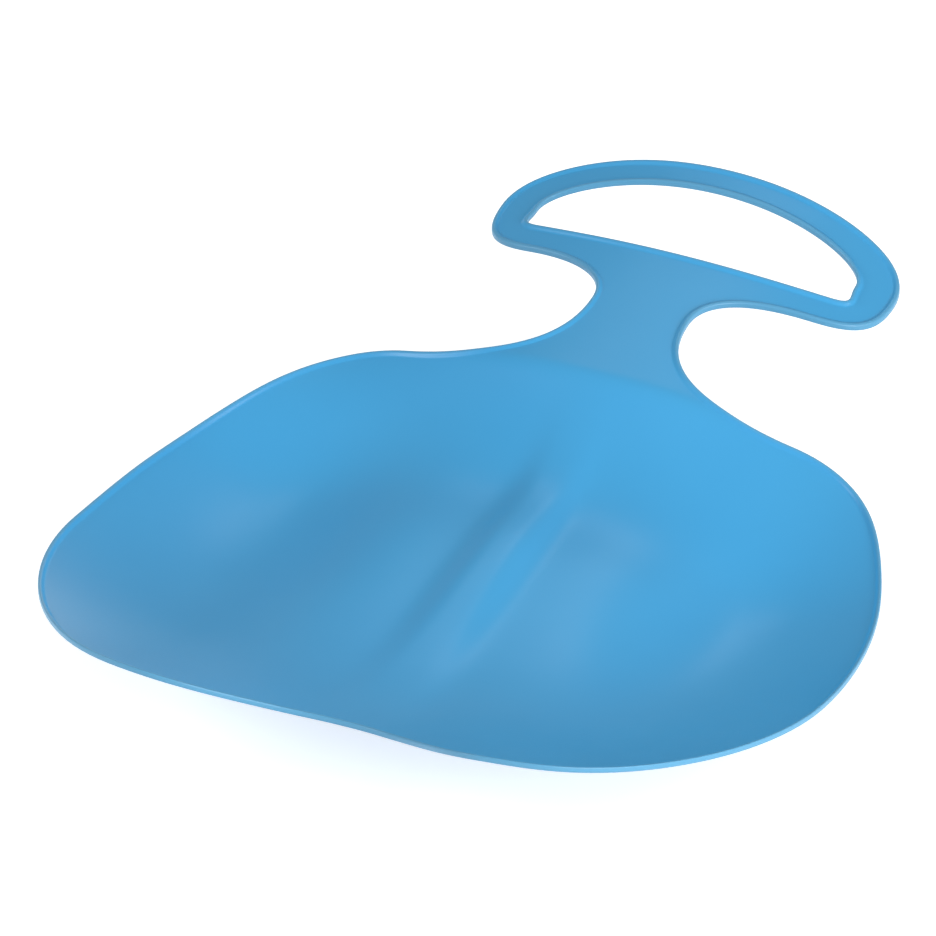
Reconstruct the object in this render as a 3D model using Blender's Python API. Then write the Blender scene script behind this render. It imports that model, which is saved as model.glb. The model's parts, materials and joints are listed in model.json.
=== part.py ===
"""A heart-shaped snow slider, moulded in one piece of blue plastic.

The slider is a dished seat with two hollows and a ridge between them, and a
neck in front that carries a D-shaped grip. A raised bead runs round the
outside and round the hand hole. The moulding is divided here at its own
features, so each can be named, and each keeps a small gap to the next.

Everything is drawn in the seat's own frame: X across, Y forward from the
middle of the seat, Z up. The parts are then moved so that the origin lies on
the ground, under the middle of the slider's outline.
"""

import math

import bmesh
import bpy
from mathutils import Vector
from mathutils.geometry import delaunay_2d_cdt

# Overall sizes of the outline, in metres
HALF_WIDTH = 0.2035        # seat centre line to the widest point
REAR_REACH = 0.2405        # seat middle back to the end of the rear lobes
NOTCH_DEPTH = 0.044        # depth of the notch between the rear lobes
LOBE_OFFSET = 0.0915       # centre line to the end of a rear lobe
SHOULDER_REACH = 0.1185    # seat middle forward to the seat's front corners
SHOULDER_INSET = 0.098     # a front corner in from the widest point

# Neck and grip
NECK_LENGTH = 0.088        # from the front corners to the wings of the grip
NECK_HALF_WIDTH = 0.0265
GRIP_DEPTH = 0.080         # from the wings' rear side to the front of the grip
GRIP_HALF_WIDTH = 0.108
CROSSBAR_DEPTH = 0.009     # from the wings' rear side to the hand hole, on the centre line
BOW_BAR = 0.017            # width of the front bar of the grip
TIP_BAR = 0.021            # width of the grip at its two ends

# Wall and bead
SHEET = 0.0025             # wall thickness
BEAD_WIDTH = 0.0032
BEAD_HEIGHT = 0.0034
BEAD_PROUD = 0.0010        # the bead's top above the wall beside it
BEAD_ROUND = 0.001         # rounding of the bead's two upper edges
GAP = 0.0003               # clearance between neighbouring solids

# Heights of the upper surface, in the seat's own frame
DISH_LEVEL = -0.060        # level from which the dish's walls swell up
NECK_HEIGHT = 0.0014       # neck plate at the crease, on the centre line
NECK_RISE = 0.079          # slope of the neck and grip, forward
ARCH_RADIUS = 0.257        # the neck and grip are arched across at this radius
ARCH_DROP = 0.0333         # most that the arch drops towards the sides
FLAT_DEPTH = 0.0012        # depth cut flat under each hollow

# The dish: each wall starts at a line and swells up over a length to its final slope
SIDE_RUN = 0.0955          # width of the side walls
SIDE_SWELL = 0.1115
SIDE_SLOPE = 0.732
REAR_START = -0.0033
REAR_SWELL = 0.284
REAR_SLOPE = 0.963
NOTCH_DIP = 0.22           # share by which the rear wall is lower at the notch
NOTCH_SPREAD = 0.060
FRONT_START = 0.022
FRONT_SWELL = 0.0455
ONSET = 0.030              # softness of the line where a wall starts

# The crease, where the dish's front wall meets the neck plate
CREASE_SETBACK = 0.005     # how far it lies behind the front corners on the centre line
CREASE_BOW = 0.005         # how much further forward the crease lies at the sides
CREASE_SPREAD = 0.060

# The ridge between the two seat hollows
RIDGE_HEIGHT = 0.034
RIDGE_CREST_SHARE = 0.20   # the rest of its height is the broad hump under the crest
RIDGE_CREST_WIDTH = 0.015
RIDGE_WIDENING = 0.035     # how fast the crest widens to the rear
RIDGE_WIDENING_START = 0.040
RIDGE_WIDENING_SWELL = 0.060
RIDGE_HUMP_WIDTH = 0.100
RIDGE_MIDDLE = 0.0      # the ridge is highest here, and falls off to the rear and front
RIDGE_REAR_LENGTH = 0.125
RIDGE_FRONT_LENGTH = 0.095

# Where the moulding is divided, from the wings' rear side
CROSSBAR_CUT = -0.0115     # neck plate and crossbar
BOW_CUT = 0.035            # crossbar and front bar

# Fineness of the mesh
LATTICE = 0.010            # spacing of the wall's inner points
EDGE_STEP = 0.011          # longest step along an outline
TURN_STEP = 9.0            # largest turn between steps, in degrees
EDGE_CLEARANCE = 0.4       # inner points stay this share of the lattice off an edge
SLOPE_STEP = 0.0005        # distance over which a slope is measured
FLAT_SEARCH = 0.040        # how far before and behind the hollows' floor its lowest point is sought

# Finish, the same all over
BLUE = (0.052, 0.340, 0.630, 1.0)
ROUGHNESS = 0.35
METALLIC = 0.0


# Places that follow from the sizes above
WING_REACH = SHOULDER_REACH + NECK_LENGTH
GRIP_REACH = WING_REACH + GRIP_DEPTH
HOLE_REACH = WING_REACH + CROSSBAR_DEPTH
CREASE_REACH = SHOULDER_REACH - CREASE_SETBACK
CENTRE_Y = 0.5 * (GRIP_REACH - REAR_REACH)


def shoulder_node():
    """Front corner of the seat, where its outline turns in to the neck."""
    return (HALF_WIDTH - SHOULDER_INSET, SHOULDER_REACH, 184, 0.039, 0.295 * NECK_LENGTH)


def pan_nodes():
    """Right half of the seat's outline: x, y, heading in degrees, reach in, reach out.

    The headings are those of a walk from the notch round the right side to the
    front corner. A reach is the length of the curve's handle before or after.
    """
    return [
        (0.0, NOTCH_DEPTH - REAR_REACH, 0, 0.0, 0.040),
        (LOBE_OFFSET, -REAR_REACH, 0, 0.030, 0.063),
        (HALF_WIDTH, -0.0715, 90, 0.0755, 0.0485),
        (HALF_WIDTH - 0.0235, 0.0575, 114.5, 0.0425, 0.0395),
        shoulder_node(),
    ]


def handle_nodes():
    """The outline's way on from the front corner, by the neck and a wing, to the grip's front."""
    return [
        shoulder_node(),
        (NECK_HALF_WIDTH, SHOULDER_REACH + 0.58 * NECK_LENGTH, 90, 0.595 * NECK_LENGTH, 0.235 * NECK_LENGTH),
        (GRIP_HALF_WIDTH - 0.030, WING_REACH, 13, 0.0305, 0.026),
        (GRIP_HALF_WIDTH, WING_REACH + 0.0355, 90, 0.0185, 0.0365),
        (0.0, GRIP_REACH, 180, 0.0565, 0.0),
    ]


def hole_nodes():
    """Right half of the hand hole, walked from its rear edge to its front."""
    hole_end = GRIP_HALF_WIDTH - TIP_BAR
    return [
        (0.0, HOLE_REACH, 0, 0.0, 0.0315),
        (hole_end - 0.007, HOLE_REACH + 0.010, 13.5, 0.023, 0.0125),
        (hole_end, HOLE_REACH + 0.025, 90, 0.009, 0.017),
        (0.0, GRIP_REACH - BOW_BAR, 180, 0.0515, 0.0),
    ]


def bezier(a, b, t):
    """Point and unit direction at t on the curve from node a to node b."""
    turn_a = math.radians(a[2])
    turn_b = math.radians(b[2])
    p0 = Vector((a[0], a[1]))
    p3 = Vector((b[0], b[1]))
    p1 = p0 + a[4] * Vector((math.cos(turn_a), math.sin(turn_a)))
    p2 = p3 - b[3] * Vector((math.cos(turn_b), math.sin(turn_b)))
    s = 1.0 - t
    point = s**3 * p0 + 3 * s * s * t * p1 + 3 * s * t * t * p2 + t**3 * p3
    slope = s * s * (p1 - p0) + 2 * s * t * (p2 - p1) + t * t * (p3 - p2)
    return point, slope.normalized()


def walk(nodes):
    """Points along the nodes' curve, each with its direction; the node ends are kept."""
    stations = []
    for a, b in zip(nodes, nodes[1:]):
        span = (Vector(b[:2]) - Vector(a[:2])).length
        count = max(math.ceil(span / EDGE_STEP), math.ceil(abs(b[2] - a[2]) / TURN_STEP))
        first = 0 if not stations else 1
        for k in range(first, count + 1):
            stations.append(bezier(a, b, k / count))
    return stations


def mirrored(stations):
    """The same walk on the left side, from the front back to the start."""
    return [(Vector((-p.x, p.y)), Vector((d.x, -d.y))) for p, d in reversed(stations)]


def sideways(direction):
    """Unit vector to the right of the walk: out of the slider, or from the hole into the grip."""
    return Vector((direction.y, -direction.x))


def swell(distance, length):
    """Height of a wall that starts at distance 0 and rises to a slope of 1."""
    inside = 0.5 * (distance + math.hypot(distance, ONSET))
    return math.hypot(inside, length) - length


def bump(distance, spread):
    return math.exp(-((distance / spread) ** 2))


def crease(x):
    """How far forward the crease lies at x."""
    return CREASE_REACH + CREASE_BOW * (1.0 - bump(x, CREASE_SPREAD))


def plate_height(x, y):
    """Upper surface of the neck and the grip."""
    arch = ARCH_DROP * math.tanh(x * x / (2 * ARCH_RADIUS * ARCH_DROP))
    return NECK_HEIGHT + NECK_RISE * (y - CREASE_REACH) - arch


def ridge_height(x, y):
    along = y - RIDGE_MIDDLE
    length = RIDGE_REAR_LENGTH if along < 0.0 else RIDGE_FRONT_LENGTH
    widening = RIDGE_WIDENING * swell(RIDGE_WIDENING_START - y, RIDGE_WIDENING_SWELL)
    crest_width = RIDGE_CREST_WIDTH + widening
    crest = RIDGE_CREST_SHARE * math.exp(-(abs(x / crest_width) ** 3))
    hump = (1.0 - RIDGE_CREST_SHARE) * math.exp(-((x / RIDGE_HUMP_WIDTH) ** 4))
    return RIDGE_HEIGHT * bump(along, length) * (crest + hump)


def dish_height(x, y):
    """Upper surface of the dish, which meets the neck plate at the crease."""
    rise = swell(y - FRONT_START, FRONT_SWELL)
    side_start = HALF_WIDTH - SIDE_RUN - rise
    side = SIDE_SLOPE * swell(abs(x) - side_start, SIDE_SWELL)
    rear = REAR_SLOPE * swell(REAR_START - y, REAR_SWELL) * (1.0 - NOTCH_DIP * bump(x, NOTCH_SPREAD))
    low = DISH_LEVEL + side + rear + ridge_height(x, y)
    share = rise / swell(crease(x) - FRONT_START, FRONT_SWELL)
    return low + share * (plate_height(x, crease(x)) - low)


def surface_at(x, y):
    """The surface that holds at a place: the dish's behind the crease, the plate's in front."""
    return dish_height if y < crease(x) else plate_height


def rim_surface(x, y):
    """Height of the smooth surface that the top of the bead follows."""
    return surface_at(x, y)(x, y)


def wall_top(x, y):
    return rim_surface(x, y) - BEAD_PROUD


def wall_bottom(x, y):
    """Underside, one wall thickness below the upper side, measured square to it."""
    surface = surface_at(x, y)
    across = (surface(x + SLOPE_STEP, y) - surface(x - SLOPE_STEP, y)) / (2 * SLOPE_STEP)
    forward = (surface(x, y + SLOPE_STEP) - surface(x, y - SLOPE_STEP)) / (2 * SLOPE_STEP)
    return wall_top(x, y) - SHEET * math.sqrt(1.0 + across**2 + forward**2)


def lattice_points():
    """Square lattice over the whole slider, in the seat's frame."""
    across = math.ceil(HALF_WIDTH / LATTICE)
    back = math.ceil(REAR_REACH / LATTICE)
    front = math.ceil(GRIP_REACH / LATTICE)
    return [(i * LATTICE, j * LATTICE) for i in range(-across, across + 1) for j in range(-back, front + 1)]


def ground_level():
    """Height of the flats: a little above the lowest point of the dish's underside."""
    rear = REAR_START - FLAT_SEARCH
    front = FRONT_START + FLAT_SEARCH
    floor = [(x, y) for x, y in lattice_points() if x > 0 and rear < y < front]
    return min(wall_bottom(x, y) for x, y in floor) + FLAT_DEPTH


GROUND = ground_level()


def new_object(name, mesh, parent):
    """Object at the slider's place, with its own finish."""
    finish = bpy.data.materials.new(name + "_plastic")
    finish.use_nodes = True
    shader = finish.node_tree.nodes["Principled BSDF"]
    shader.inputs["Base Color"].default_value = BLUE
    shader.inputs["Roughness"].default_value = ROUGHNESS
    shader.inputs["Metallic"].default_value = METALLIC
    mesh.materials.append(finish)
    piece = bpy.data.objects.new(name, mesh)
    piece.location = (0.0, -CENTRE_Y, -GROUND)
    piece.parent = parent
    bpy.context.scene.collection.objects.link(piece)
    return piece


def finish_mesh(name, bm):
    """Closed mesh with outward faces, smooth but for its edges."""
    bmesh.ops.triangulate(bm, faces=bm.faces)
    bmesh.ops.recalc_face_normals(bm, faces=bm.faces)
    mesh = bpy.data.meshes.new(name)
    bm.to_mesh(mesh)
    bm.free()
    mesh.shade_smooth()
    mesh.set_sharp_from_angle(angle=math.radians(40))
    return mesh


def inside(point, loop):
    """True where the point lies in the loop and well clear of its edges."""
    hit = False
    clearance = EDGE_CLEARANCE * LATTICE
    for a, b in zip(loop, loop[1:] + loop[:1]):
        if (a.y > point.y) != (b.y > point.y):
            if point.x < a.x + (point.y - a.y) * (b.x - a.x) / (b.y - a.y):
                hit = not hit
        along = (point - a).dot(b - a) / (b - a).length_squared
        nearest = a + min(max(along, 0.0), 1.0) * (b - a)
        if (point - nearest).length < clearance:
            return False
    return hit


def make_wall(name, loop, parent):
    """A piece of the moulded wall: a net inside the loop, shaped and given its thickness."""
    inner = [Vector(p) for p in lattice_points()]
    points = loop + [p for p in inner if inside(p, loop)]
    net = delaunay_2d_cdt(points, [], [list(range(len(loop)))], 1, 1e-7)
    bm = bmesh.new()
    verts = [bm.verts.new((p.x, p.y, wall_top(p.x, p.y))) for p in net[0]]
    for face in net[2]:
        bm.faces.new([verts[k] for k in face])
    under = bmesh.ops.extrude_face_region(bm, geom=bm.faces[:], use_keep_orig=True)
    for item in under["geom"]:
        if isinstance(item, bmesh.types.BMVert):
            item.co.z = max(wall_bottom(item.co.x, item.co.y), GROUND)
    return new_object(name, finish_mesh(name, bm), parent)


def bead_section():
    """Section of the bead, from its outer foot over the top: width from the edge, depth from the top."""
    middle = BEAD_ROUND * (1.0 - math.sqrt(0.5))
    return [
        (0.0, -BEAD_HEIGHT),
        (0.0, -BEAD_ROUND),
        (middle, -middle),
        (BEAD_ROUND, 0.0),
        (BEAD_WIDTH - BEAD_ROUND, 0.0),
        (BEAD_WIDTH - middle, -middle),
        (BEAD_WIDTH, -BEAD_ROUND),
        (BEAD_WIDTH, -BEAD_HEIGHT),
    ]


def make_bead(name, stations, side, closed, parent):
    """Bead along the stations. side is -1 where it lies left of the walk and 1 where it lies right."""
    bm = bmesh.new()
    rings = []
    for point, direction in stations:
        across = side * sideways(direction)
        ring = []
        for width, depth in bead_section():
            spot = point + width * across
            ring.append(bm.verts.new((spot.x, spot.y, rim_surface(spot.x, spot.y) + depth)))
        rings.append(ring)
    pairs = list(zip(rings, rings[1:] + rings[:1])) if closed else list(zip(rings, rings[1:]))
    for ring, following in pairs:
        for k in range(len(ring)):
            m = (k + 1) % len(ring)
            bm.faces.new((ring[k], ring[m], following[m], following[k]))
    if not closed:
        bm.faces.new(rings[0])
        bm.faces.new(rings[-1][::-1])
    return new_object(name, finish_mesh(name, bm), parent)


def trimmed(stations, distance):
    """The walk with both its ends drawn in along their directions."""
    first, first_direction = stations[0]
    last, last_direction = stations[-1]
    start = (first + distance * first_direction, first_direction)
    end = (last - distance * last_direction, last_direction)
    return [start] + stations[1:-1] + [end]


def offset_points(stations, distance, side):
    return [point + side * distance * sideways(direction) for point, direction in stations]


def cut_at(points, line, keep_low):
    """Points up to the place where they cross y = line(x), or from it on."""
    above = [p.y > line(p.x) for p in points]
    k = above.index(True)
    a = points[k - 1]
    b = points[k]
    da = line(a.x) - a.y
    db = b.y - line(b.x)
    crossing = a + (b - a) * (da / (da + db))
    return points[:k] + [crossing] if keep_low else [crossing] + points[k:]


def straight(height):
    return lambda x: height


def shifted_crease(shift):
    return lambda x: crease(x) + shift


def line_across(end, line):
    """Points along y = line(x) from a right-hand end to its mirror image, both left out."""
    count = math.ceil(2 * end.x / EDGE_STEP)
    xs = [end.x * (1.0 - 2.0 * k / count) for k in range(1, count)]
    return [Vector((x, line(x))) for x in xs]


def reflected(points):
    """Mirror image of the points, walked the other way; a point on the centre line stays single."""
    return [Vector((-p.x, p.y)) for p in reversed(points) if p.x > 1e-6]


def make_seat_pan(pan_inner, handle_inner, parent):
    """The dish, inside its bead and behind the crease."""
    line = shifted_crease(-0.5 * GAP)
    right = pan_inner[:-1] + cut_at(handle_inner, line, True)
    make_wall("seat_pan", right + line_across(right[-1], line) + reflected(right), parent)


def make_neck_plate(handle_inner, parent):
    """The neck, from the crease to the crossbar."""
    rear_line = shifted_crease(0.5 * GAP)
    front_line = straight(WING_REACH + CROSSBAR_CUT - 0.5 * GAP)
    right = cut_at(cut_at(handle_inner, rear_line, False), front_line, True)
    rear = line_across(right[0], rear_line)[::-1]
    make_wall("neck_plate", rear + right + line_across(right[-1], front_line) + reflected(right), parent)


def make_crossbar(handle_inner, hole_outer, parent):
    """The rear bar of the grip, with its wings up to the ends of the hand hole."""
    rear_line = straight(WING_REACH + CROSSBAR_CUT + 0.5 * GAP)
    front_line = straight(WING_REACH + BOW_CUT - 0.5 * GAP)
    outer = cut_at(cut_at(handle_inner, rear_line, False), front_line, True)
    right = outer + cut_at(hole_outer, front_line, True)[::-1]
    rear = line_across(right[0], rear_line)[::-1]
    make_wall("crossbar", rear + right + reflected(right), parent)


def make_grip_bow(handle_inner, hole_outer, parent):
    """The arched front bar of the grip."""
    rear_line = straight(WING_REACH + BOW_CUT + 0.5 * GAP)
    outer = cut_at(handle_inner, rear_line, False)
    inner = cut_at(hole_outer, rear_line, False)
    front = outer + reflected(outer)
    back = inner + reflected(inner)
    make_wall("grip_bow", front + back[::-1], parent)


def build_slider():
    slider = bpy.data.objects.new("snow_slider", None)
    bpy.context.scene.collection.objects.link(slider)

    pan_walk = walk(pan_nodes())
    handle_walk = walk(handle_nodes())
    hole_walk = walk(hole_nodes())
    inset = BEAD_WIDTH + GAP
    pan_inner = offset_points(pan_walk, inset, -1)
    handle_inner = offset_points(handle_walk, inset, -1)
    hole_outer = offset_points(hole_walk, inset, 1)

    make_seat_pan(pan_inner, handle_inner, slider)
    make_neck_plate(handle_inner, slider)
    make_crossbar(handle_inner, hole_outer, slider)
    make_grip_bow(handle_inner, hole_outer, slider)

    pan_round = mirrored(pan_walk)[:-1] + pan_walk
    handle_round = handle_walk + mirrored(handle_walk)[1:]
    hole_round = hole_walk + mirrored(hole_walk)[1:-1]
    make_bead("pan_rim", trimmed(pan_round, 0.5 * GAP), -1, False, slider)
    make_bead("handle_rim", trimmed(handle_round, 0.5 * GAP), -1, False, slider)
    make_bead("grip_rim", hole_round, 1, True, slider)


def main():
    for old in list(bpy.data.objects):
        bpy.data.objects.remove(old, do_unlink=True)
    build_slider()


main()
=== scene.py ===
# %% [markdown]
# # A heart-shaped snow slider
#
# This scene dresses a imported CAD model of a snow slider. The real slider is one injection
# moulding of blue polyethylene: a dished seat with two hollows and a ridge between them, and
# a short neck that carries a D-shaped grip. A small bead runs round every edge.
#
# The CAD model is divided at its features, with hairline gaps between the solids. A real
# moulding has no such seams, so the looks are one seamless mesh that stands for all seven
# CAD nodes. It repeats the CAD model's formulas, because a scene can't read the CAD source.
#
# Blender opens with a cube, a lamp and a camera of its own. They are removed first, so that
# the scene holds the CAD model alone after loading.

# %% Load the imported model
import json
import math

import bpy
import numpy as np
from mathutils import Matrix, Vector

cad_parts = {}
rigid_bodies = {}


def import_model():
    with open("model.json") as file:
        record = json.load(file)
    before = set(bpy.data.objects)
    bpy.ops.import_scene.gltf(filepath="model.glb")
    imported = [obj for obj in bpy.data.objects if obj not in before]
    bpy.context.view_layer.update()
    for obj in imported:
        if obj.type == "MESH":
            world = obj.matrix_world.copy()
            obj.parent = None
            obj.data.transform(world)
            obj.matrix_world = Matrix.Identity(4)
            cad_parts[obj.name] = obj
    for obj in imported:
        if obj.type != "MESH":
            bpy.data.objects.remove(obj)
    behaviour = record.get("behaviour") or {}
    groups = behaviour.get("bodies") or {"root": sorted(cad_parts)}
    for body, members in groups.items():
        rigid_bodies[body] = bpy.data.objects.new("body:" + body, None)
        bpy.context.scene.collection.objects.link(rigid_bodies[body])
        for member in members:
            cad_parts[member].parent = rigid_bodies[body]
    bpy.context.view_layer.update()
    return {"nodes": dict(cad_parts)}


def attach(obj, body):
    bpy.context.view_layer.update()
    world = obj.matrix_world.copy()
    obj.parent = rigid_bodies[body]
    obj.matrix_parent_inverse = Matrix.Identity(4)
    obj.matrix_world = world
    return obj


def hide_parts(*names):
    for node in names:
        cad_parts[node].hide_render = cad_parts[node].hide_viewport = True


for leftover in list(bpy.data.objects):
    bpy.data.objects.remove(leftover, do_unlink=True)
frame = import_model()
print("CAD nodes:", sorted(frame["nodes"]))

# %% [markdown]
# ## Working as by hand
#
# Operators act on whatever is selected, and the loaded CAD nodes arrive selected. So each
# piece starts from an empty selection, and edit mode is entered with one object active.


# %% Selection helpers
def pick_only(piece):
    """Leave one object selected and active."""
    bpy.ops.object.select_all(action="DESELECT")
    piece.select_set(True)
    bpy.context.view_layer.objects.active = piece


def edit(piece, parts="FACE"):
    """Enter edit mode on one object, with everything visible selected."""
    pick_only(piece)
    bpy.ops.object.mode_set(mode="EDIT")
    bpy.ops.mesh.select_mode(type=parts)
    bpy.ops.mesh.select_all(action="SELECT")


def leave_edit():
    """Back to object mode."""
    bpy.ops.object.mode_set(mode="OBJECT")


print("selected after loading:", len(bpy.context.selected_objects), "objects")

# %% [markdown]
# ## The outline
#
# Seen from above, the slider is a curve of few nodes: the notch at the back, a rear lobe, the
# widest point, the front corner, the slim neck, the wing and tip of the grip, and its front.
# A Bezier curve fits such a flowing outline better than a polygon, because each node keeps
# its own heading and the two reaches of its handles. Only the right half is drawn, and the
# Mirror modifier makes the left half, so the two sides can't differ.
#
# All sizes are metres in the seat's own frame: X across, Y forward from the middle of the
# seat. They are the CAD model's sizes.

# %% Sizes of the outline
HALF_WIDTH = 0.2035
REAR_REACH = 0.2405
NOTCH_DEPTH = 0.044
LOBE_OFFSET = 0.0915
SHOULDER_REACH = 0.1185
SHOULDER_INSET = 0.098
NECK_LENGTH = 0.088
NECK_HALF_WIDTH = 0.0265
GRIP_DEPTH = 0.080
GRIP_HALF_WIDTH = 0.108
CROSSBAR_DEPTH = 0.009
BOW_BAR = 0.017
TIP_BAR = 0.021

wing_reach = SHOULDER_REACH + NECK_LENGTH
grip_reach = wing_reach + GRIP_DEPTH
hole_reach = wing_reach + CROSSBAR_DEPTH
hole_end = GRIP_HALF_WIDTH - TIP_BAR
outline_middle = 0.5 * (grip_reach - REAR_REACH)   # its place in front of the seat's middle
print("length", round(grip_reach + REAR_REACH, 4), "m, width", 2 * HALF_WIDTH, "m")
print("grip opening", round(2 * hole_end, 4), "m wide")

# %% [markdown]
# ## Nodes of the outline
#
# Each node is a place, a heading and two reaches. A reach is how far the curve runs straight
# on before it bends, so a long reach makes a lazy bend and a short one makes a tight corner.

# %% Nodes of the half outline and of half the hand hole
# x, y, heading in degrees, reach of the handle before and after
outline_nodes = [
    (0.0, NOTCH_DEPTH - REAR_REACH, 0, 0.0, 0.040),
    (LOBE_OFFSET, -REAR_REACH, 0, 0.030, 0.063),
    (HALF_WIDTH, -0.0715, 90, 0.0755, 0.0485),
    (HALF_WIDTH - 0.0235, 0.0575, 114.5, 0.0425, 0.0395),
    (HALF_WIDTH - SHOULDER_INSET, SHOULDER_REACH, 184, 0.039, 0.295 * NECK_LENGTH),
    (NECK_HALF_WIDTH, SHOULDER_REACH + 0.58 * NECK_LENGTH, 90,
     0.595 * NECK_LENGTH, 0.235 * NECK_LENGTH),
    (GRIP_HALF_WIDTH - 0.030, wing_reach, 13, 0.0305, 0.026),
    (GRIP_HALF_WIDTH, wing_reach + 0.0355, 90, 0.0185, 0.0365),
    (0.0, grip_reach, 180, 0.0565, 0.0),
]
hole_nodes = [   # the same, for the hand hole
    (0.0, hole_reach, 0, 0.0, 0.0315),
    (hole_end - 0.007, hole_reach + 0.010, 13.5, 0.023, 0.0125),
    (hole_end, hole_reach + 0.025, 90, 0.009, 0.017),
    (0.0, grip_reach - BOW_BAR, 180, 0.0515, 0.0),
]
print("nodes:", len(outline_nodes), "round the outside,", len(hole_nodes), "round the hand hole")

# %% [markdown]
# ## The curve
#
# A curve object takes the nodes with free handles, which point where they are told. Its two
# splines are then turned into two chains of short mesh edges, because insets need a mesh.


# %% Draw the two half outlines as one curve object
CURVE_STEPS = 28   # mesh edges between two nodes


def set_spline(spline, nodes):
    """Give a Bezier spline its nodes: x, y, heading in degrees, reach before and after."""
    spline.bezier_points.add(len(nodes) - len(spline.bezier_points))
    for point, (x, y, heading, before, after) in zip(spline.bezier_points, nodes):
        turn = math.radians(heading)
        along = Vector((math.cos(turn), math.sin(turn), 0.0))
        point.handle_left_type = "FREE"
        point.handle_right_type = "FREE"
        point.co = (x, y, 0.0)
        point.handle_left = point.co - before * along
        point.handle_right = point.co + after * along


bpy.ops.object.select_all(action="DESELECT")
bpy.ops.curve.primitive_bezier_curve_add(location=(0, 0, 0))
sheet = bpy.context.active_object
sheet.name = "slider_moulding"
sheet.data.dimensions = "2D"
sheet.data.fill_mode = "NONE"
sheet.data.resolution_u = CURVE_STEPS
set_spline(sheet.data.splines[0], outline_nodes)
set_spline(sheet.data.splines.new("BEZIER"), hole_nodes)
bpy.ops.object.convert(target="MESH")
print("outline points on the right half:", len(sheet.data.vertices))

# %% [markdown]
# ## One flat face
#
# The half outline is closed along the centre line with two straight edges, one behind the
# hand hole and one in front of it, and filled with a single face. One face is the best
# start for insets: every inset then follows the whole edge at an even distance.


# %% Close the half outline and fill it
on_centre = 1e-5   # nearer than this to x = 0 counts as on the centre line
margin = 0.001     # how far past the hand hole's ends to look for their end points


def select_points(piece, test):
    """In edit mode, select the vertices whose place passes the test."""
    leave_edit()
    for vert in piece.data.vertices:
        vert.select = bool(test(vert.co))
    for line in piece.data.edges:
        line.select = False
    for face in piece.data.polygons:
        face.select = False
    bpy.ops.object.mode_set(mode="EDIT")


edit(sheet, "VERT")
behind_hole = (-REAR_REACH, hole_reach + margin)
in_front_of_hole = (grip_reach - BOW_BAR - margin, grip_reach + margin)
for low, high in (behind_hole, in_front_of_hole):
    select_points(sheet, lambda p: abs(p.x) < on_centre and low < p.y < high)
    bpy.ops.mesh.edge_face_add()
bpy.ops.mesh.select_all(action="SELECT")
bpy.ops.mesh.edge_face_add()
leave_edit()
print("faces:", len(sheet.data.polygons), "with", len(sheet.data.polygons[0].vertices), "sides")

# %% [markdown]
# ## Loops for the bead
#
# The bead is 3.6 mm wide at its foot, with rounded shoulders. It needs loops where its section
# turns: close together on the outer rounding, and a few more over the top and down its inner
# side. Each loop is an inset of the inner face. On the centre line there is no bead, so the
# inset's corners there go straight back to x = 0.
#
# Every vertex remembers how far from the edge its loop lies. The bead's height will be read
# from that distance.

# %% Inset loops round the edge
bead_loops = [
    0.0, 0.00008, 0.0003, 0.00062, 0.001, 0.0016,
    0.0021, 0.0025, 0.0029, 0.0033, 0.0038, 0.0046,
]
sheet.data.attributes.new("edge_distance", "FLOAT", "POINT")


def inner_face():
    """The one large face inside the innermost loop."""
    return max(sheet.data.polygons, key=lambda face: face.area)


edit(sheet)
for before, here in zip(bead_loops, bead_loops[1:]):
    bpy.ops.mesh.inset(thickness=here - before, use_boundary=True, use_even_offset=True)
    leave_edit()
    mark = sheet.data.attributes["edge_distance"]
    for index in inner_face().vertices:
        mark.data[index].value = here
        vert = sheet.data.vertices[index]
        if abs(vert.co.x - (here - before)) < on_centre:
            vert.co.x = 0.0
    bpy.ops.object.mode_set(mode="EDIT")
leave_edit()
print("vertices after", len(bead_loops) - 1, "insets:", len(sheet.data.vertices))

# %% [markdown]
# ## No bead on the centre line
#
# Pushed back to x = 0, the inset's faces along the centre line have no width left. They would
# end up inside the finished body, so they are deleted.


# %% Delete the leftover faces on the centre line
def select_faces(piece, test):
    """In face mode, select the faces that pass the test, and enter edit mode."""
    edit(piece)
    bpy.ops.mesh.select_all(action="DESELECT")
    leave_edit()
    for face in piece.data.polygons:
        face.select = bool(test(face))
    found = sum(face.select for face in piece.data.polygons)
    bpy.ops.object.mode_set(mode="EDIT")
    return found


verts = sheet.data.vertices
found = select_faces(sheet, lambda face: all(verts[v].co.x < on_centre for v in face.vertices))
bpy.ops.mesh.delete(type="FACE")
leave_edit()
print("leftover faces deleted:", found)

# %% [markdown]
# ## A grid over the wall
#
# The dish is a free curved surface, so its sheet needs small even cells. Knife cuts through
# the inner face give them: one cut every 2.5 mm across and along. The bead's loops are
# hidden meanwhile, so the cuts stop at the innermost loop.

# %% Cut the inner face into a grid
CELL = 0.0025
CUT_TOLERANCE = 1e-6
largest = inner_face().index
select_faces(sheet, lambda face: face.index == largest)
bpy.ops.mesh.hide(unselected=True)
for step in range(1, math.ceil(HALF_WIDTH / CELL)):
    bpy.ops.mesh.select_all(action="SELECT")
    bpy.ops.mesh.bisect(
        plane_co=(step * CELL, 0, 0), plane_no=(1, 0, 0), threshold=CUT_TOLERANCE)
for step in range(math.floor(-REAR_REACH / CELL), math.ceil(grip_reach / CELL)):
    bpy.ops.mesh.select_all(action="SELECT")
    bpy.ops.mesh.bisect(
        plane_co=(0, step * CELL, 0), plane_no=(0, 1, 0), threshold=CUT_TOLERANCE)
bpy.ops.mesh.reveal()
leave_edit()
print("faces in the half sheet:", len(sheet.data.polygons))

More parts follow.
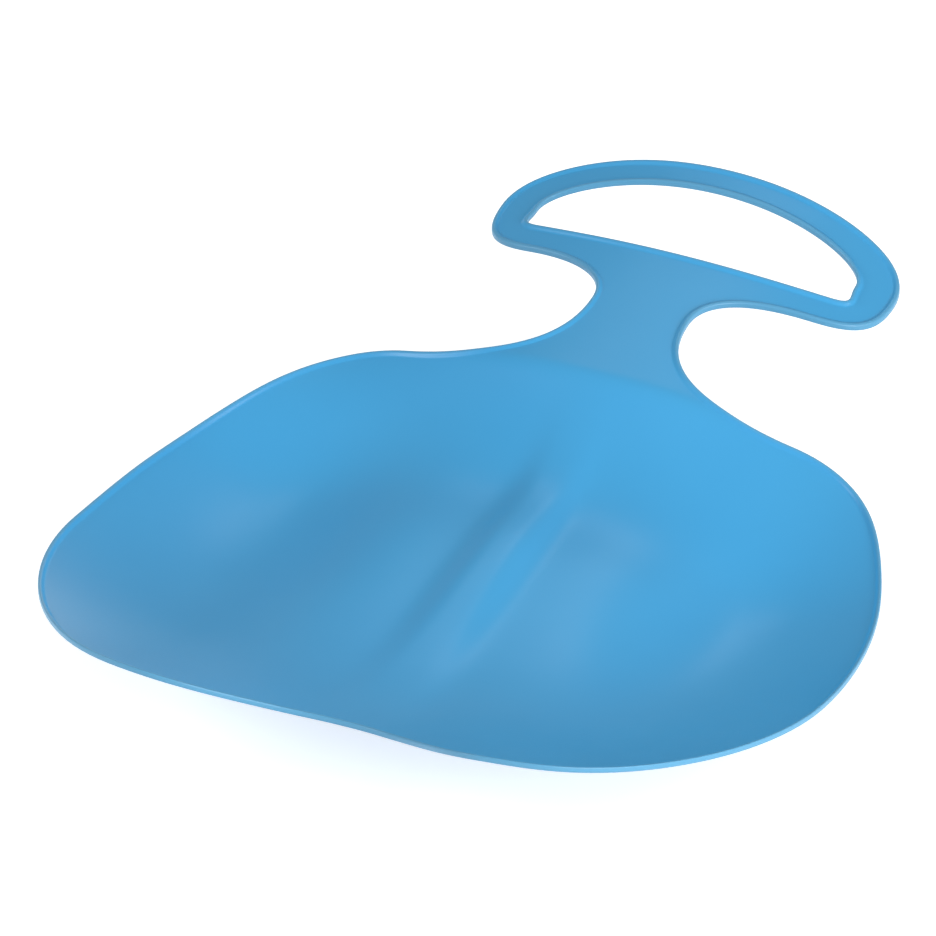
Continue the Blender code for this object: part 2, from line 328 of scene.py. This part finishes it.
# %% [markdown]
# ## The left half, and the thickness
#
# Mirror makes the left half and welds it on the centre line. Then the whole flat sheet is
# extruded down once. That gives a closed body: an upper skin, an underside with the same
# cells, and a wall round the edge and round the hand hole.

# %% Mirror the half sheet and extrude it
WELD = 0.00002     # vertices nearer than this become one
EXTRUDED = 0.010   # only holds the two skins apart until they get their heights
pick_only(sheet)
mirror = sheet.modifiers.new("left half", "MIRROR")
mirror.use_axis = (True, False, False)
mirror.use_mirror_merge = True
mirror.merge_threshold = on_centre
bpy.ops.object.modifier_apply(modifier=mirror.name)
edit(sheet, "VERT")
bpy.ops.mesh.remove_doubles(threshold=WELD)
bpy.ops.mesh.select_all(action="SELECT")
bpy.ops.mesh.extrude_region_move(TRANSFORM_OT_translate={"value": (0, 0, -EXTRUDED)})
leave_edit()
print("closed body:", len(sheet.data.vertices), "vertices,", len(sheet.data.polygons), "faces")

# %% [markdown]
# ## The dish as a formula
#
# The dish is smooth everywhere, so its height is written as a formula of the place, not
# sculpted. Each wall is a "swell": level at first, then rising to a steady slope. A side
# wall, the rear wall and the front wall are added to a level floor. A broad hump with a
# flat-topped crest parts the two hollows. The neck and grip are one plate, arched across and
# rising a little to the front. The dish's front wall meets it at the crease.

# %% Sizes of the surface
DISH_LEVEL = -0.060
NECK_HEIGHT = 0.0014
NECK_RISE = 0.079
ARCH_RADIUS = 0.257
ARCH_DROP = 0.0333
SIDE_RUN = 0.0955
SIDE_SWELL = 0.1115
SIDE_SLOPE = 0.732
REAR_START = -0.0033
REAR_SWELL = 0.284
REAR_SLOPE = 0.963
NOTCH_DIP = 0.22
NOTCH_SPREAD = 0.060
FRONT_START = 0.022
FRONT_SWELL = 0.0455
ONSET = 0.030
CREASE_SETBACK = 0.005
CREASE_BOW = 0.005
CREASE_SPREAD = 0.060
RIDGE_HEIGHT = 0.034
RIDGE_CREST_SHARE = 0.20
RIDGE_CREST_WIDTH = 0.015
RIDGE_WIDENING = 0.035
RIDGE_WIDENING_START = 0.040
RIDGE_WIDENING_SWELL = 0.060
RIDGE_HUMP_WIDTH = 0.100
RIDGE_MIDDLE = 0.0
RIDGE_REAR_LENGTH = 0.125
RIDGE_FRONT_LENGTH = 0.095
crease_reach = SHOULDER_REACH - CREASE_SETBACK
print("the crease lies", round(crease_reach, 4), "m in front of the seat's middle")

# %% [markdown]
# ## Swells, bumps and the plate
#
# Two small formulas do most of the work. A swell is a hyperbola, which bends once and then
# runs straight. A bump is a bell curve, which fades out without a kink.


# %% The building blocks and the neck plate
def swell(distance, length):
    """Height of a wall that starts at distance 0 and rises to a slope of 1."""
    inside = 0.5 * (distance + np.hypot(distance, ONSET))
    return np.hypot(inside, length) - length


def bump(distance, spread):
    """A bell curve of height 1."""
    return np.exp(-((distance / spread) ** 2))


def crease(x):
    """How far forward the crease lies at x."""
    return crease_reach + CREASE_BOW * (1.0 - bump(x, CREASE_SPREAD))


def plate_height(x, y):
    """Upper surface of the neck and the grip."""
    arch = ARCH_DROP * np.tanh(x * x / (2 * ARCH_RADIUS * ARCH_DROP))
    return NECK_HEIGHT + NECK_RISE * (y - crease_reach) - arch


tip_drop = float(plate_height(0.0, 0.0) - plate_height(GRIP_HALF_WIDTH, 0.0))
print("the grip's tips lie", round(1000 * tip_drop), "mm below its middle")

# %% [markdown]
# ## The ridge and the dish
#
# The crest falls off with the cube of the distance, so it has a nearly flat top and one short
# steep side on each hand. The left one is the dark line that shows down the seat.


# %% The ridge and the dish
def ridge_height(x, y):
    """The crest and the hump under it."""
    along = y - RIDGE_MIDDLE
    length = np.where(along < 0.0, RIDGE_REAR_LENGTH, RIDGE_FRONT_LENGTH)
    widening = RIDGE_WIDENING * swell(RIDGE_WIDENING_START - y, RIDGE_WIDENING_SWELL)
    crest = RIDGE_CREST_SHARE * np.exp(-np.abs(x / (RIDGE_CREST_WIDTH + widening)) ** 3)
    hump = (1.0 - RIDGE_CREST_SHARE) * np.exp(-((x / RIDGE_HUMP_WIDTH) ** 4))
    return RIDGE_HEIGHT * bump(along, length) * (crest + hump)


def dish_height(x, y):
    """Upper surface of the dish, which meets the neck plate at the crease."""
    rise = swell(y - FRONT_START, FRONT_SWELL)
    side_start = HALF_WIDTH - SIDE_RUN - rise
    side = SIDE_SLOPE * swell(np.abs(x) - side_start, SIDE_SWELL)
    notch = 1.0 - NOTCH_DIP * bump(x, NOTCH_SPREAD)
    rear = REAR_SLOPE * swell(REAR_START - y, REAR_SWELL) * notch
    low = DISH_LEVEL + side + rear + ridge_height(x, y)
    share = rise / swell(crease(x) - FRONT_START, FRONT_SWELL)
    return low + share * (plate_height(x, crease(x)) - low)


across_seat = dish_height(np.linspace(0.0, HALF_WIDTH, 200), -0.040)
ridge_rise = float(across_seat[0] - across_seat.min())
print("the ridge stands", round(1000 * ridge_rise), "mm above the hollows, 40 mm behind the middle")

# %% [markdown]
# ## The crease, softened
#
# Plastic never meets in a knife edge. On the real slider the crease catches a soft band of
# light a few millimetres wide, so the kink between the dish and the plate is eased over a
# short run on both sides of it, by as much as the slope changes there.

# %% Soften the crease
EASE_RUN = 0.0045


def surface_height(x, y):
    """The dish and the plate, joined with a soft crease."""
    line = crease(x)
    sharp = np.where(y < line, dish_height(x, y), plate_height(x, y))
    tiny = 1e-5
    slope_before = (dish_height(x, line) - dish_height(x, line - tiny)) / tiny
    change = np.maximum(slope_before - NECK_RISE, 0.0)
    inside = np.clip(EASE_RUN - np.abs(y - line), 0.0, None)
    return sharp - change * inside**2 / (4 * EASE_RUN)


softened = float(plate_height(0.0, crease(0.0)) - surface_height(0.0, crease(0.0)))
print("the crease is rounded by", round(1000 * softened, 2), "mm on the centre line")

# %% [markdown]
# ## The bead
#
# The bead's section is a function of the distance from the edge: a quarter round at the
# edge, a narrow crest, and a steep inner side down to the wall. The inner side is what shows
# on the far edges, as a pale line with a darker one beside it. The bead stands 1.4 mm above
# the wall here, a little more than the CAD model's 1 mm, so that this line is clear.

# %% The bead's section
BEAD_HEIGHT = 0.0034
BEAD_PROUD = 0.0014
BEAD_ROUND = 0.001
BEAD_TOP = 0.0014
BEAD_FOOT = 0.0036


def ease(share):
    """Turn a straight run from 0 to 1 into one that starts and ends level."""
    return share * share * (3 - 2 * share)


def quarter_round(edge, radius):
    """How far a rounded edge has fallen away, by distance from the edge."""
    inside = np.clip(radius - edge, 0.0, radius)
    return radius - np.sqrt(np.maximum(radius**2 - inside**2, 0.0))


def bead_drop(edge):
    """How far the upper skin lies below the bead's top, by distance from the edge."""
    down = np.clip((edge - BEAD_TOP) / (BEAD_FOOT - BEAD_TOP), 0.0, 1.0)
    return quarter_round(edge, BEAD_ROUND) + BEAD_PROUD * ease(down)


print("drop at each loop, mm:", (1000 * bead_drop(np.array(bead_loops))).round(2))

# %% [markdown]
# ## The underside and the ground
#
# The underside is the CAD model's: one wall thickness below a wall that lies 1 mm under the
# bead's top. The thickness is measured square to the surface, so a steep wall needs a longer
# drop than a level floor. Where the dish is lowest the underside is cut flat. Both models then
# stand on the same ground.

# %% The wall's thickness and the ground
SHEET = 0.0025
WALL_BELOW_BEAD = 0.0010
FLAT_DEPTH = 0.0012


def wall_drop(x, y):
    """How far the underside lies below the surface that the bead's top follows."""
    step = 0.0005
    across = (surface_height(x + step, y) - surface_height(x - step, y)) / (2 * step)
    forward = (surface_height(x, y + step) - surface_height(x, y - step)) / (2 * step)
    return WALL_BELOW_BEAD + SHEET * np.sqrt(1.0 + across**2 + forward**2)


def ground_level():
    """The CAD model's ground: a little above the lowest point of the underside."""
    cell = 0.010
    places = [(i * cell, j * cell) for i in range(1, 21) for j in range(-5, 7)]
    x, y = np.array(places).T
    return (surface_height(x, y) - wall_drop(x, y)).min() + FLAT_DEPTH


ground = ground_level()
print("ground level", round(1000 * ground, 2), "mm in the seat's own frame")

# %% [markdown]
# ## Both skins
#
# The flat body is still one layer above another. Every vertex now gets its height: the upper
# ones from the surface and the bead, the lower ones from the bead's height at the edge and from
# the wall's thickness further in. The body is also moved so that its outline is centred.

# %% Shape both skins
LOWER_ROUND = 0.0006
LOWER_BLEND = 0.0042   # run from the bead's height to the wall's thickness
count = len(sheet.data.vertices)
place = np.empty(count * 3)
sheet.data.vertices.foreach_get("co", place)
place = place.reshape(-1, 3)
edge = np.empty(count)
sheet.data.attributes["edge_distance"].data.foreach_get("value", edge)
x, y = place[:, 0], place[:, 1]
top = surface_height(x, y)
upper = top - bead_drop(edge)
at_edge = np.clip(1.0 - edge / LOWER_BLEND, 0.0, 1.0)
lower = top - at_edge * BEAD_HEIGHT - (1.0 - at_edge) * wall_drop(x, y)
lower = lower + quarter_round(edge, LOWER_ROUND)
on_top = place[:, 2] > -0.5 * EXTRUDED
place[:, 2] = np.where(on_top, upper, np.maximum(lower, ground)) - ground
place[:, 1] -= outline_middle
sheet.data.vertices.foreach_set("co", place.ravel())
sheet.data.update()
print("shape from", place.min(0).round(4), "to", place.max(0).round(4))

# %% [markdown]
# ## Painted highlight along the edge
#
# The bead's colour is painted greyer, a painted highlight for the light that it catches. Each
# vertex stores its share for the material to read: 1 at the very edge, fading to 0 within the bead.
# A vertex with no value gets no painted highlight.

# %% Store the painted highlight
FULL_HIGHLIGHT_TO = 0.0006
NO_HIGHLIGHT_FROM = 0.0024
# Painted highlight share: 1 within the first 0.6 mm of the edge, none past 2.4 mm.
painted_highlight_share = ease(np.clip((NO_HIGHLIGHT_FROM - edge) / (NO_HIGHLIGHT_FROM - FULL_HIGHLIGHT_TO), 0.0, 1.0))
sheet.data.attributes.new("painted_bead_highlight", "FLOAT", "POINT").data.foreach_set("value", painted_highlight_share)
print("vertices with some wear:", int((painted_highlight_share > 0).sum()), "of", count)

# %% [markdown]
# ## Smooth shading and outward faces
#
# All edges of the moulding are rounded in the mesh itself, so the whole body is shaded
# smooth. The normals are recalculated once, because the body was made by a mirror and an
# extrude, and either can leave faces pointing inwards.

# %% Finish the mesh
edit(sheet)
bpy.ops.mesh.normals_make_consistent(inside=False)
leave_edit()
bpy.ops.object.shade_smooth()
sheet.data.attributes.remove(sheet.data.attributes["edge_distance"])
smooth = sum(face.use_smooth for face in sheet.data.polygons)
print("smooth faces:", smooth, "of", len(sheet.data.polygons))

# %% [markdown]
# ## Blue moulded plastic
#
# The real slider is satin-gloss polyethylene: a mid blue, soft broad highlights, and a very
# fine moulded grain that shows only close up. One shader does for the whole moulding. The
# noise that varies it reads Object coordinates, which are fixed to the slider.


# %% Start the plastic
def new_finish(name):
    """A material with nodes, and its nodes and links."""
    finish = bpy.data.materials.new(name)
    finish.use_nodes = True
    return finish, finish.node_tree.nodes, finish.node_tree.links


plastic, nodes, links = new_finish("blue_moulded_plastic")
shader = nodes["Principled BSDF"]
shader.inputs["Metallic"].default_value = 0.0
shader.inputs["IOR"].default_value = 1.5
shader.inputs["Specular IOR Level"].default_value = 0.36
where = nodes.new("ShaderNodeTexCoord")
sheet.data.materials.append(plastic)
print("material", plastic.name, "with", shader.name)

# %% [markdown]
# ## Noise, in Object coordinates
#
# A noise texture mostly stays near its middle value. Stretching only that middle range makes
# full use of the two values that it is meant to vary between.


# %% Noise helpers
NOISE_LOW = 0.3
NOISE_HIGH = 0.7


def noise(scale, detail, roughness=0.5):
    """A noise texture that is fixed to the slider."""
    node = nodes.new("ShaderNodeTexNoise")
    node.inputs["Scale"].default_value = scale
    node.inputs["Detail"].default_value = detail
    node.inputs["Roughness"].default_value = roughness
    links.new(where.outputs["Object"], node.inputs["Vector"])
    return node


def graded(source, low, high):
    """The noise's middle range, stretched to run from low to high."""
    node = nodes.new("ShaderNodeMapRange")
    node.inputs["From Min"].default_value = NOISE_LOW
    node.inputs["From Max"].default_value = NOISE_HIGH
    node.inputs["To Min"].default_value = low
    node.inputs["To Max"].default_value = high
    links.new(source, node.inputs["Value"])
    return node.outputs["Result"]


drift = noise(9.0, 3.0)
grain = noise(2600.0, 2.0, 0.6)
print("textures:", [node.name for node in nodes if node.type == "TEX_NOISE"])

# %% [markdown]
# ## The blue
#
# The colour drifts by a few per cent over some centimetres, as pigment does in a large
# moulding. The two blues are so close that the drift is only just visible.

# %% Mix the two blues
DEEP_BLUE = (0.048, 0.331, 0.634, 1.0)
PALE_BLUE = (0.054, 0.349, 0.654, 1.0)
tint = nodes.new("ShaderNodeMix")
tint.data_type = "RGBA"
tint.inputs["A"].default_value = DEEP_BLUE
tint.inputs["B"].default_value = PALE_BLUE
links.new(graded(drift.outputs["Fac"], 0.0, 1.0), tint.inputs["Factor"])
print("blue from", DEEP_BLUE[:3], "to", PALE_BLUE[:3])

# %% [markdown]
# ## The painted highlight on the bead
#
# The bead is painted a little greyer than the wall, as a painted highlight for the light that it
# catches. The share that each vertex carries fades this greyer blue in over the tint.

# %% Paint the highlight on the bead
# A greyer blue, used as the painted highlight on the bead.
PAINTED_HIGHLIGHT_BLUE = (0.098, 0.332, 0.540, 1.0)
painted_highlight = nodes.new("ShaderNodeAttribute")
painted_highlight.attribute_type = "GEOMETRY"
painted_highlight.attribute_name = "painted_bead_highlight"
with_painted_highlight = nodes.new("ShaderNodeMix")
with_painted_highlight.data_type = "RGBA"
with_painted_highlight.inputs["B"].default_value = PAINTED_HIGHLIGHT_BLUE
links.new(painted_highlight.outputs["Fac"], with_painted_highlight.inputs["Factor"])
links.new(tint.outputs["Result"], with_painted_highlight.inputs["A"])
links.new(with_painted_highlight.outputs["Result"], shader.inputs["Base Color"])
print("base colour comes from", shader.inputs["Base Color"].links[0].from_node.name)

# %% [markdown]
# ## The grain
#
# The mould's surface leaves a grain of a fraction of a millimetre. It is far too fine to see
# from here, but it varies the gloss a little and breaks up the reflections close up.

# %% Vary the gloss and the relief
GLOSSIEST = 0.30
DULLEST = 0.37
GRAIN_RELIEF = 0.00005
links.new(graded(grain.outputs["Fac"], GLOSSIEST, DULLEST), shader.inputs["Roughness"])
relief = nodes.new("ShaderNodeBump")
relief.inputs["Strength"].default_value = 0.10
relief.inputs["Distance"].default_value = GRAIN_RELIEF
links.new(grain.outputs["Fac"], relief.inputs["Height"])
links.new(relief.outputs["Normal"], shader.inputs["Normal"])
print("roughness from", GLOSSIEST, "to", DULLEST)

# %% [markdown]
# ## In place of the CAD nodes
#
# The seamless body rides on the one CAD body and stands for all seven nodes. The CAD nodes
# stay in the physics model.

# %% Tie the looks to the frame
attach(sheet, "root")
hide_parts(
    "seat_pan", "pan_rim", "neck_plate", "crossbar", "grip_bow", "handle_rim", "grip_rim")
print(sheet.name, "stands for", len(frame["nodes"]), "CAD nodes")

# %% [markdown]
# ## The camera
#
# The photograph shows the slider from above its right rear side: 23.6 degrees round from
# behind and 35 degrees up. Parallel edges stay almost parallel in it, so the camera stands
# far away with a long lens. It aims a little to the left of the seat's middle and above it, as
# the photograph does.

# %% Set the camera
AZIMUTH = math.radians(23.61)
ELEVATION = math.radians(35.0)
DISTANCE = 20.0
PIXELS_PER_METRE = 2004.1
FRAME_PIXELS = 936
SENSOR = 36.0
AIM_LEFT = 0.0185
AIM_UP = 0.0127
toward_camera = Vector((
    math.sin(AZIMUTH) * math.cos(ELEVATION),
    -math.cos(AZIMUTH) * math.cos(ELEVATION),
    math.sin(ELEVATION),
))
rightward = Vector((math.cos(AZIMUTH), math.sin(AZIMUTH), 0.0))
upward = toward_camera.cross(rightward)
seat_middle = Vector((0.0, -outline_middle, -ground))
aim = seat_middle - AIM_LEFT * rightward + AIM_UP * upward
bpy.ops.object.camera_add(location=aim + DISTANCE * toward_camera)
camera = bpy.context.active_object
camera.rotation_euler = toward_camera.to_track_quat("Z", "Y").to_euler()
camera.data.sensor_width = SENSOR
camera.data.lens = SENSOR * DISTANCE * PIXELS_PER_METRE / FRAME_PIXELS
camera.data.clip_end = 3 * DISTANCE
bpy.context.scene.camera = camera
print("lens", round(camera.data.lens), "mm at", DISTANCE, "m")

# %% [markdown]
# ## The floor
#
# A product photographer would lay a white sweep and use large soft boxes. The floor here is
# pale and catches the slider's soft shadow.

# %% Lay the floor
FLOOR_SIZE = 40.0
FLOOR_DROP = 0.0005
FLOOR_GLOW = 0.60
bpy.ops.mesh.primitive_plane_add(size=FLOOR_SIZE, location=(0, 0, -FLOOR_DROP))
floor = bpy.context.active_object
floor.name = "floor"
floor_finish, nodes, links = new_finish("white_floor")
floor_shader = nodes["Principled BSDF"]
floor_shader.inputs["Base Color"].default_value = (0.80, 0.80, 0.80, 1.0)
floor_shader.inputs["Roughness"].default_value = 0.9
floor_shader.inputs["Emission Color"].default_value = (1.0, 1.0, 1.0, 1.0)
floor.data.materials.append(floor_finish)
print("floor", FLOOR_SIZE, "m wide,", 1000 * FLOOR_DROP, "mm below the slider")

# %% [markdown]
# ## The floor as a white page
#
# The floor also glows a little, but only to the camera and in reflections. So it reads as a
# white page round the slider, and it sends no more soft light up than a plain floor would.

# %% Let it glow to the camera and in reflections
light_path = nodes.new("ShaderNodeLightPath")
camera_or_glossy = nodes.new("ShaderNodeMath")
camera_or_glossy.operation = "MAXIMUM"
links.new(light_path.outputs["Is Camera Ray"], camera_or_glossy.inputs[0])
links.new(light_path.outputs["Is Glossy Ray"], camera_or_glossy.inputs[1])
glow = nodes.new("ShaderNodeMath")
glow.operation = "MULTIPLY"
glow.inputs[1].default_value = FLOOR_GLOW
links.new(camera_or_glossy.outputs["Value"], glow.inputs[0])
links.new(glow.outputs["Value"], floor_shader.inputs["Emission Strength"])
print("floor glow", FLOOR_GLOW)

# %% [markdown]
# ## The lights
#
# Two large boxes stand low on the right, behind and beside the slider, and draw the ridge's
# dark left side. A third, on the left, fills the walls. Two small weak ones stand at the back of
# the picture, in front of the slider, and give the sheen in the right hollow and on the neck.


# %% Place the lights
LAMP_DISTANCE = 2.2


def soft_box(name, azimuth, elevation, size, power):
    """A square area light that faces the slider. Azimuth 0 is behind the sitter's back."""
    turn = math.radians(azimuth)
    rise = math.radians(elevation)
    level = math.cos(rise)
    outward = Vector((math.sin(turn) * level, -math.cos(turn) * level, math.sin(rise)))
    bpy.ops.object.light_add(type="AREA", location=LAMP_DISTANCE * outward)
    box = bpy.context.active_object
    box.name = name
    box.rotation_euler = outward.to_track_quat("Z", "Y").to_euler()
    box.data.shape = "SQUARE"
    box.data.size = size
    box.data.energy = power
    print(name, "at", [round(value, 2) for value in box.location])


soft_box("key_box", 60, 18, 0.9, 32)
soft_box("side_box", 90, 28, 0.9, 14)
soft_box("fill_box", 300, 27, 0.9, 21)
soft_box("back_box", 190, 41, 0.4, 1.3)
soft_box("neck_box", 207, 43, 0.4, 0.8)

# %% [markdown]
# ## The surround
#
# An even white surround lifts the shadows, as the walls of a white studio would.

# %% Light the surround
SURROUND_STRENGTH = 0.42
world = bpy.context.scene.world or bpy.data.worlds.new("surround")
bpy.context.scene.world = world
world.use_nodes = True
surround = world.node_tree.nodes["Background"]
surround.inputs["Color"].default_value = (1.0, 1.0, 1.0, 1.0)
surround.inputs["Strength"].default_value = SURROUND_STRENGTH
print("white surround", SURROUND_STRENGTH)

# %% [markdown]
# ## The colours, and the end
#
# The Standard view keeps the colours as they are set.

# %% Keep the colours
bpy.context.scene.view_settings.view_transform = "Standard"
bpy.context.view_layer.update()
